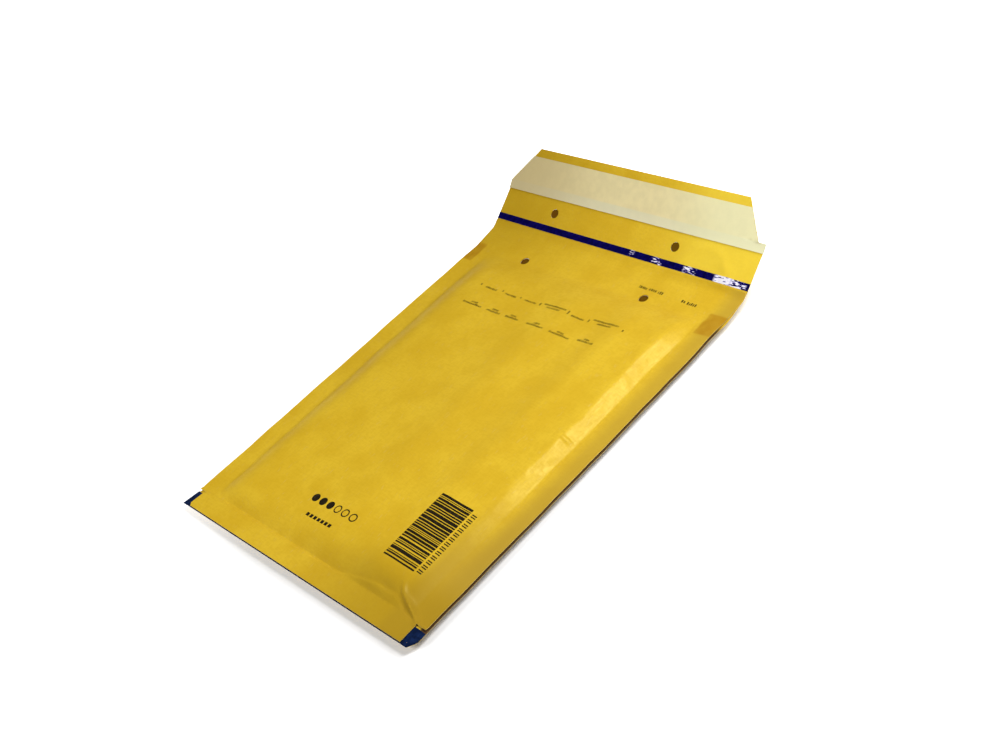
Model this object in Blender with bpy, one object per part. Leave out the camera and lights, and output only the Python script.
"""Padded envelope: two kraft sheets glued round the edge, each lined with bubble film.

The envelope lies on its back sheet, printed side up, with the open flap standing off the table.
Metres, +Z up. X runs across the envelope and Y from the bottom edge to the flap.
The origin is under the middle of the whole outline, on the table.
"""

import math

import bmesh
import bpy
from mathutils import Matrix, Vector

# Driving sizes of the body
BODY_WIDTH = 0.170
BODY_LENGTH = 0.226
PAPER = 0.0003
FILM = 0.0003
FIT = 0.0003
PAD_HEIGHT = 0.0092
CROWN = 0.001

# Flat glued margins and the slopes that run from them, and from the neck, to the full pad
SIDE_SEAM = 0.0125
BOTTOM_SEAM = 0.0124
SIDE_SHOULDER = 0.011
BOTTOM_SHOULDER = 0.009
NECK_SHOULDER = 0.026
SHOULDER_ROUNDING = 0.25
SHOULDER_MARKS = (0.0, 0.1, 0.25, 0.75, 0.9, 1.0)

# The unpadded neck, the mouth edge past the fold, and the flap
NECK = 0.017
NECK_ANGLE = math.radians(6.0)
NECK_BEND = 0.004
MOUTH_LIP = 0.004
FOLD_BEND = 0.003
FLAP_ANGLE = math.radians(33.4)
FLAP_TO_CREASE = 0.0236
CREASE_BEND = 0.002
TIP_ANGLE = math.radians(43.2)
TIP_LENGTH = 0.0225
TAPER_START = 0.004
TIP_INSET = 0.0153

# The front sheet's hem, narrower than the body, whose crease climbs towards the pleat
HEM_DEPTH = 0.0098
HEM_INSET = 0.0055
HEM_FADE = 0.0016
HEM_CLIMB = 0.0045
HEM_CLIMB_START = 0.022

# A pleat pressed into the front sheet beside the right end of the hem
PLEAT_START = (0.0625, 0.0165)
PLEAT_END = (0.079, 0.0106)
PLEAT_HEIGHT = 0.0012
PLEAT_WIDTH = 0.003

# Clip holes, in pairs that meet when the flap is shut
CLIP_HOLE = 0.005
CLIP_SPACING = 0.0825
CLIP_SHIFT = -0.0053
CLIP_FROM_FOLD = 0.0155
CLIP_HOLE_SIDES = 12

# Strips of film, adhesive and release paper
TEAR_STRIP_WIDTH = 0.0035
TEAR_STRIP_GAP = 0.0006
BOTTOM_STRIP_WIDTH = 0.009
BOTTOM_STRIP_MARGIN = 0.0004
LINER_WIDTH = 0.0188
LINER_DRY_EDGE = 0.0045
ADHESIVE_MARGIN = 0.0015

# Bubbles of the lining
BUBBLE_DIAMETER = 0.011
BUBBLE_TOP_DIAMETER = 0.0075
BUBBLE_SPACE = 0.002
BUBBLE_MARGIN = 0.001
BUBBLE_SIDES = 8

# Places worked out from the sizes, as lengths along the paper from the bottom edge
FOLD = BODY_LENGTH - MOUTH_LIP
NECK_START = FOLD - NECK
CREASE = FOLD + FLAP_TO_CREASE
FLAP_END = CREASE + TIP_LENGTH
TAPER = CREASE + TAPER_START
BUBBLE_PITCH = BUBBLE_DIAMETER + BUBBLE_SPACE

# Heights of the sheets' middle surfaces above the line between the sheets
SEAM_LIFT = (PAPER + FIT) / 2
PAD_LIFT = (PAD_HEIGHT - PAPER) / 2
LINING_LIFT = PAD_LIFT - PAPER / 2 - FIT - FILM / 2
STRIP_LIFT = -SEAM_LIFT + PAPER / 2 + FIT + FILM / 2
HEM_LIFT = STRIP_LIFT + FILM / 2 + FIT + PAPER / 2
LINER_LIFT = STRIP_LIFT + FILM / 2 + FIT + PAPER / 2

# Every bend along the paper: where it starts, how long it is, and the angle after it
BENDS = (
    (NECK_START, NECK_BEND, NECK_ANGLE),
    (FOLD - FOLD_BEND / 2, FOLD_BEND, FLAP_ANGLE),
    (CREASE - CREASE_BEND / 2, CREASE_BEND, TIP_ANGLE),
)


def material(name, colour, roughness, transmission=0.0):
    """A Principled material with its colour, roughness and, for film, transmission."""
    made = bpy.data.materials.new(name)
    made.use_nodes = True
    shader = made.node_tree.nodes["Principled BSDF"]
    shader.inputs["Base Color"].default_value = (*colour, 1.0)
    shader.inputs["Roughness"].default_value = roughness
    shader.inputs["Metallic"].default_value = 0.0
    shader.inputs["Transmission Weight"].default_value = transmission
    return made


def run_along_paper(v):
    """Run, height and angle of the line between the sheets at length v from the bottom edge."""
    run = height = angle = done = 0.0
    for start, length, angle_after in BENDS:
        if v <= start:
            break
        run += (start - done) * math.cos(angle)
        height += (start - done) * math.sin(angle)
        part = min(v - start, length)
        turned = angle + (angle_after - angle) * part / length
        middle = (angle + turned) / 2
        run += part * math.cos(middle)
        height += part * math.sin(middle)
        angle = turned
        done = start + part
    run += (v - done) * math.cos(angle)
    height += (v - done) * math.sin(angle)
    return run, height, angle


FLAP_REACH = run_along_paper(FLAP_END)[0] + (SEAM_LIFT + PAPER / 2) * math.sin(TIP_ANGLE)
MIDDLE_RUN = FLAP_REACH / 2


def place(x, v, lift):
    """The point at x across and v along the paper, lifted at right angles from the middle line."""
    run, height, angle = run_along_paper(v)
    y = run - MIDDLE_RUN - lift * math.sin(angle)
    z = PAD_HEIGHT / 2 + height + lift * math.cos(angle)
    return Vector((x, y, z))


def rise(share):
    """Height of a shoulder, 0 to 1, at a share of its run: a straight slope, rounded at both ends."""
    share = min(max(share, 0.0), 1.0)
    straight = 1 - SHOULDER_ROUNDING
    if share < SHOULDER_ROUNDING:
        return share**2 / (2 * SHOULDER_ROUNDING * straight)
    if share > straight:
        return 1 - (1 - share) ** 2 / (2 * SHOULDER_ROUNDING * straight)
    return (share - SHOULDER_ROUNDING / 2) / straight


def fullness(x, v):
    """How full the pad is at a place: 0 in the glued margins and neck, 1 over the bubbles."""
    side = rise((BODY_WIDTH / 2 - SIDE_SEAM - abs(x)) / SIDE_SHOULDER)
    bottom = rise((v - BOTTOM_SEAM) / BOTTOM_SHOULDER)
    top = rise((NECK_START - v) / NECK_SHOULDER)
    return side * bottom * top


def sheet_lift(x, v):
    """Lift of a paper sheet's middle surface, without crown, hem or pleat."""
    return SEAM_LIFT + (PAD_LIFT - SEAM_LIFT) * fullness(x, v)


def crown(x, v):
    """Extra height in the middle of the front sheet."""
    half_width = BODY_WIDTH / 2 - SIDE_SEAM - SIDE_SHOULDER
    low = BOTTOM_SEAM + BOTTOM_SHOULDER
    high = NECK_START - NECK_SHOULDER
    across = 1 - (x / half_width) ** 2
    along = 1 - ((2 * v - low - high) / (high - low)) ** 2
    return CROWN * max(across, 0.0) * max(along, 0.0)


def pleat(x, v):
    """Extra height of the front sheet over the pleat by the hem's right end."""
    start = Vector(PLEAT_START)
    along = Vector(PLEAT_END) - start
    offset = Vector((x, v)) - start
    share = min(max(offset.dot(along) / along.length_squared, 0.0), 1.0)
    distance = (offset - along * share).length
    return PLEAT_HEIGHT * max(1 - distance / PLEAT_WIDTH, 0.0)


def hem_crease(x):
    """Depth of the hem's crease at x: level, then climbing to the pleat, past which it is level again."""
    share = (x - HEM_CLIMB_START) / (PLEAT_START[0] - HEM_CLIMB_START)
    climb = rise(share) if share <= 1 else 0.0
    return HEM_DEPTH + HEM_CLIMB * climb


def front_lift(x, v):
    """Lift of the front sheet's middle surface, with its hem, crown and pleat."""
    hem_share = min(max(1 - (v - hem_crease(x)) / HEM_FADE, 0.0), 1.0)
    hem = (HEM_LIFT - SEAM_LIFT) * hem_share
    return sheet_lift(x, v) + hem + crown(x, v) + pleat(x, v)


def back_lift(x, v):
    """Lift of the back sheet's middle surface, below the line between the sheets."""
    return -sheet_lift(x, v)


def flap_half_width(v):
    """Half the paper's width at v: full over the body, tapering towards the flap's edge."""
    share = min(max((v - TAPER) / (FLAP_END - TAPER), 0.0), 1.0)
    return BODY_WIDTH / 2 - TIP_INSET * share


def spaced(first, last, steps):
    """Equally spaced places from first to last, both included."""
    return [first + (last - first) * step / steps for step in range(steps + 1)]


def shoulder_places(foot, slope, marks):
    """Places of the marks on a shoulder, from its foot to where the pad is full."""
    return [foot + slope * mark for mark in marks]


def columns(inner_steps, extra=(), marks=SHOULDER_MARKS):
    """Places across a sheet, from left to right, with inner_steps between the shoulders."""
    seam = BODY_WIDTH / 2 - SIDE_SEAM
    right = list(extra) + shoulder_places(seam, -SIDE_SHOULDER, marks)
    inner = spaced(-right[-1], right[-1], inner_steps)[1:-1]
    return [-x for x in right] + inner + right[::-1]


def body_rows(inner_steps, marks=SHOULDER_MARKS):
    """Places along a sheet over the pad, from the bottom shoulder to the top one."""
    bottom = shoulder_places(BOTTOM_SEAM, BOTTOM_SHOULDER, marks)
    top = shoulder_places(NECK_START, -NECK_SHOULDER, marks)[::-1]
    return bottom + spaced(bottom[-1], top[0], inner_steps)[1:-1] + top


def bend_rows(start, length):
    """Places at the ends and in the middle of a bend."""
    return [start, start + length / 2, start + length]


def grid_place(vertex, across, along):
    """The place across and along the paper that a vertex of the unit grid stands for."""
    column = round((vertex.co.x + 1) / 2 * (len(across) - 1))
    row = round((vertex.co.y + 1) / 2 * (len(along) - 1))
    return across[column], along[row]


def faces_outside(grid, across, along, keep):
    """Faces of the unit grid with a corner at a place that keep leaves out."""
    return [
        face
        for face in grid.faces
        if not all(keep(*grid_place(corner, across, along)) for corner in face.verts)
    ]


def solid_sheet(name, look, across, along, lift, thickness, half_width=None, keep=None):
    """A closed sheet of even thickness over a grid of places, laid on the envelope's surface."""
    mesh = bpy.data.meshes.new(name)
    grid = bmesh.new()
    bmesh.ops.create_grid(
        grid, x_segments=len(across) - 1, y_segments=len(along) - 1, size=1.0
    )
    if keep is not None:
        bmesh.ops.delete(grid, geom=faces_outside(grid, across, along, keep), context="FACES")
    for vertex in grid.verts:
        x, v = grid_place(vertex, across, along)
        if half_width is not None:
            x *= half_width(v) / half_width(0.0)
        vertex.co = place(x, v, lift(x, v))
    grid.to_mesh(mesh)
    grid.free()
    mesh.materials.append(look)
    mesh.shade_smooth()
    sheet = bpy.data.objects.new(name, mesh)
    bpy.context.scene.collection.objects.link(sheet)
    solidify = sheet.modifiers.new("Thickness", "SOLIDIFY")
    solidify.thickness = thickness
    solidify.offset = 0.0
    solidify.use_even_offset = True
    return sheet


def hidden_shapes(name, shapes):
    """An object of closed shapes that only cuts or joins others."""
    mesh = bpy.data.meshes.new(name)
    shapes.to_mesh(mesh)
    shapes.free()
    guide = bpy.data.objects.new(name, mesh)
    bpy.context.scene.collection.objects.link(guide)
    guide.hide_render = True
    guide.display_type = "WIRE"
    return guide


def apply_boolean(target, other, operation):
    """Give the target an exact Boolean with the other object."""
    cut = target.modifiers.new(other.name, "BOOLEAN")
    cut.operation = operation
    cut.solver = "EXACT"
    cut.object = other


def clip_punch():
    """Round punches through the neck and through the flap, in two pairs."""
    shapes = bmesh.new()
    for v in (FOLD - CLIP_FROM_FOLD, FOLD + CLIP_FROM_FOLD):
        angle = run_along_paper(v)[2]
        for side in (-1, 1):
            x = CLIP_SHIFT + side * CLIP_SPACING / 2
            turn = Matrix.Rotation(angle, 4, "X")
            bmesh.ops.create_cone(
                shapes,
                cap_ends=True,
                segments=CLIP_HOLE_SIDES,
                radius1=CLIP_HOLE / 2,
                radius2=CLIP_HOLE / 2,
                depth=PAD_HEIGHT,
                matrix=Matrix.Translation(place(x, v, 0.0)) @ turn,
            )
    return hidden_shapes("clip_punch", shapes)


def bubble_places():
    """Middles of the bubbles, in staggered rows over the flat of the pad."""
    margin = BUBBLE_DIAMETER / 2 + BUBBLE_MARGIN
    half_width = BODY_WIDTH / 2 - SIDE_SEAM - SIDE_SHOULDER - margin
    low = BOTTOM_SEAM + BOTTOM_SHOULDER + margin
    high = NECK_START - NECK_SHOULDER - margin
    row_pitch = BUBBLE_PITCH * math.sin(math.pi / 3)
    row_count = int((high - low) / row_pitch) + 1
    slack = (high - low) - (row_count - 1) * row_pitch
    places = []
    for row in range(row_count):
        stagger = (row % 2) * BUBBLE_PITCH / 2
        count = int((2 * half_width - stagger) / BUBBLE_PITCH) + 1
        spread = (count - 1) * BUBBLE_PITCH / 2
        v = low + slack / 2 + row * row_pitch
        places += [(column * BUBBLE_PITCH - spread, v) for column in range(count)]
    return places


def bubbles(name, side):
    """Tapered bubbles that stand from the film towards the other lining."""
    shapes = bmesh.new()
    depth = LINING_LIFT - FIT
    for x, v in bubble_places():
        middle = place(x, v, side * (LINING_LIFT + FIT) / 2)
        if side < 0:
            low, high = BUBBLE_DIAMETER, BUBBLE_TOP_DIAMETER
        else:
            low, high = BUBBLE_TOP_DIAMETER, BUBBLE_DIAMETER
        bmesh.ops.create_cone(
            shapes,
            cap_ends=True,
            segments=BUBBLE_SIDES,
            radius1=low / 2,
            radius2=high / 2,
            depth=depth,
            matrix=Matrix.Translation(middle),
        )
    return hidden_shapes(name, shapes)


def back_sheet(kraft, punch):
    """The address side, one piece with the flap."""
    along = [0.0] + body_rows(1)
    along += [NECK_START + NECK_BEND]
    along += bend_rows(FOLD - FOLD_BEND / 2, FOLD_BEND)
    along += bend_rows(CREASE - CREASE_BEND / 2, CREASE_BEND)
    along += [TAPER, FLAP_END]
    across = columns(1, extra=[BODY_WIDTH / 2])
    sheet = solid_sheet("back_sheet", kraft, across, along, back_lift, PAPER, flap_half_width)
    apply_boolean(sheet, punch, "DIFFERENCE")
    return sheet


def front_sheet(kraft, punch):
    """The printed side, from the hem at the bottom to the mouth edge just past the fold."""
    hem_edge = BODY_WIDTH / 2 - HEM_INSET

    def inside_hem(x, v):
        return v >= HEM_DEPTH or abs(x) <= hem_edge

    along = [0.0, HEM_DEPTH, HEM_DEPTH + HEM_FADE] + body_rows(9)
    along += [NECK_START + NECK_BEND]
    along += bend_rows(FOLD - FOLD_BEND / 2, FOLD_BEND)
    along += [BODY_LENGTH]
    across = columns(7, extra=[BODY_WIDTH / 2, hem_edge])
    sheet = solid_sheet(
        "front_sheet", kraft, across, along, front_lift, PAPER, keep=inside_hem
    )
    apply_boolean(sheet, punch, "DIFFERENCE")
    return sheet


def bubble_lining(name, film, side):
    """Bubble film bonded to the inside of one sheet, its edges held by the seams."""

    def clear_lift(x, v):
        return sheet_lift(x, v) - PAPER / 2 - FIT - FILM / 2

    def lift(x, v):
        return side * clear_lift(x, v)

    def between_sheets(x, v):
        return clear_lift(x, v) >= (FILM + FIT) / 2

    marks = SHOULDER_MARKS[1:]
    across = columns(1, marks=marks)
    along = body_rows(1, marks)
    sheet = solid_sheet(name, film, across, along, lift, FILM, keep=between_sheets)
    apply_boolean(sheet, bubbles(name + "_bubbles", side), "UNION")
    return sheet


def tear_strip(film):
    """The film strip across the flap, just past the mouth edge."""
    start = BODY_LENGTH + TEAR_STRIP_GAP
    across = spaced(-BODY_WIDTH / 2, BODY_WIDTH / 2, 1)
    along = [start, start + TEAR_STRIP_WIDTH]
    return solid_sheet("tear_strip", film, across, along, lambda x, v: STRIP_LIFT, FILM)


def bottom_strip(film):
    """The film strip between the back sheet and the front sheet's hem."""
    across = spaced(-BODY_WIDTH / 2, BODY_WIDTH / 2, 1)
    along = [BOTTOM_STRIP_MARGIN, BOTTOM_STRIP_MARGIN + BOTTOM_STRIP_WIDTH]
    return solid_sheet("bottom_strip", film, across, along, lambda x, v: STRIP_LIFT, FILM)


def adhesive_band(glue):
    """The band of adhesive on the flap, past the liner's dry edge."""
    start = CREASE + LINER_DRY_EDGE
    end = CREASE + LINER_WIDTH - ADHESIVE_MARGIN

    def half_width(v):
        return flap_half_width(v) - ADHESIVE_MARGIN

    reach = BODY_WIDTH / 2 - ADHESIVE_MARGIN
    across = spaced(-reach, reach, 1)
    return solid_sheet(
        "adhesive_band", glue, across, [start, end], lambda x, v: STRIP_LIFT, FILM, half_width
    )


def release_liner(paper):
    """The release paper over the adhesive, cut with the flap, dry along its lower edge."""
    across = spaced(-BODY_WIDTH / 2, BODY_WIDTH / 2, 1)
    along = [CREASE + CREASE_BEND / 2, TAPER, CREASE + LINER_WIDTH]
    return solid_sheet(
        "release_liner", paper, across, along, lambda x, v: LINER_LIFT, PAPER, flap_half_width
    )


def build():
    """Clear the scene and model every piece of the envelope."""
    for old in list(bpy.data.objects):
        bpy.data.objects.remove(old, do_unlink=True)
    kraft = material("kraft_paper", (0.70, 0.46, 0.035), 0.55)
    clear_film = material("bubble_film", (0.85, 0.90, 0.93), 0.25, transmission=0.6)
    blue_film = material("blue_film", (0.012, 0.008, 0.19), 0.2)
    hot_melt = material("hot_melt", (0.75, 0.62, 0.35), 0.35)
    silicone_paper = material("silicone_paper", (0.66, 0.62, 0.45), 0.5)
    punch = clip_punch()
    back_sheet(kraft, punch)
    front_sheet(kraft, punch)
    bubble_lining("back_bubble_lining", clear_film, -1)
    bubble_lining("front_bubble_lining", clear_film, 1)
    tear_strip(blue_film)
    bottom_strip(blue_film)
    adhesive_band(hot_melt)
    release_liner(silicone_paper)


build()
